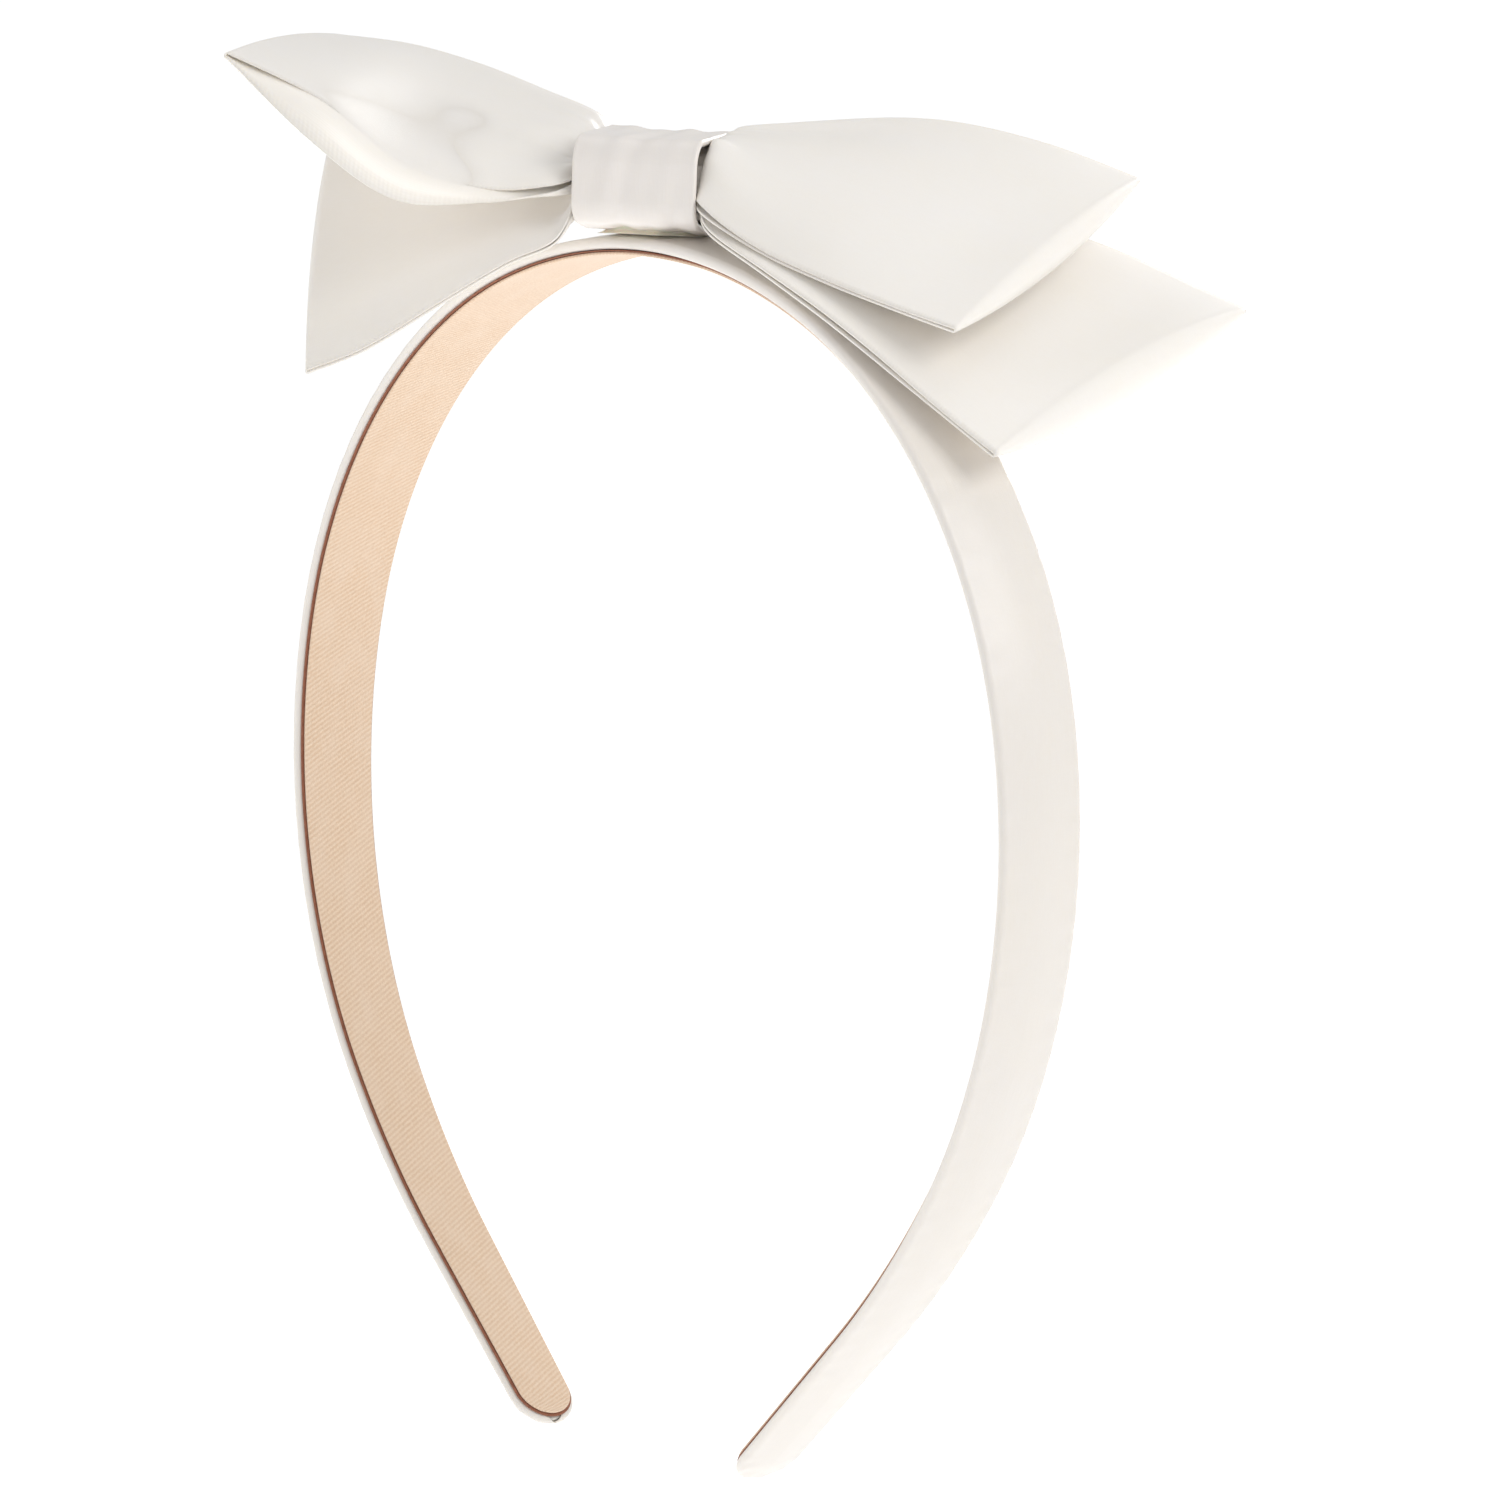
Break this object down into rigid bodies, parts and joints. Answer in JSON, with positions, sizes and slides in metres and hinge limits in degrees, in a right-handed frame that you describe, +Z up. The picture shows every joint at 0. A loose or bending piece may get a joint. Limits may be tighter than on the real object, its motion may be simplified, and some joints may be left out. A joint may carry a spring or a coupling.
{
  "type": "knotted headband",
  "caption": "Satin covered U headband, lined on its head side, with a double ribbon bow and knot wrap fixed on top of its crown.",
  "frame": {"origin": "middle of the lining's head side at the crown, where the band rests on the head", "axes": "+Z up, out of the top of the head; X from ear to ear, with the two tips at -Z; -Y towards the front of the head"},
  "size_m": [0.1316, 0.0946, 0.1604],
  "materials": {
    "core_plastic": "moulded, even",
    "satin": "ivory satin, soft sheen",
    "backing": "red brown cut edge",
    "lining": "peach brushed nap",
    "thread": "twisted thread",
    "glue": "hot melt glue"
  },
  "bodies": {
    "root": {"band_core": "core_plastic", "satin_cover": "satin", "lining_backing": "backing", "lining_tape": "lining", "bow_upper_loop": "satin", "bow_lower_loop": "satin", "knot_wrap": "satin", "gathering_thread": "thread", "glue_pad": "glue"}
  },
  "joints": []
}
